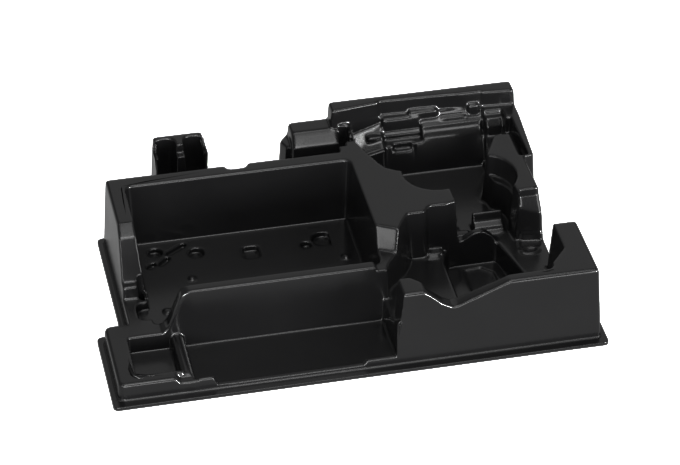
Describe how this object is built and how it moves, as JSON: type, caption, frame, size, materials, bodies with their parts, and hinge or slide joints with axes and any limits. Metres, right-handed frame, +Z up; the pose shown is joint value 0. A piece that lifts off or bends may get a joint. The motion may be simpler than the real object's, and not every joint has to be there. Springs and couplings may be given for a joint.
{
  "type": "tool case insert",
  "caption": "Thin moulded insert for a tool case: an open parts bin, a long tray and a shaped nest for a hand tool, standing on a flat lip.",
  "frame": {"origin": "middle of the base, on the plane that the lip stands on", "axes": "+X to the right along the front edge, +Y to the back, +Z up out of the pockets"},
  "size_m": [0.38, 0.264, 0.079],
  "materials": {
    "sheet": "satin black, slightly uneven as drawn over the mould"
  },
  "bodies": {
    "root": {"insert": "sheet"}
  },
  "joints": []
}
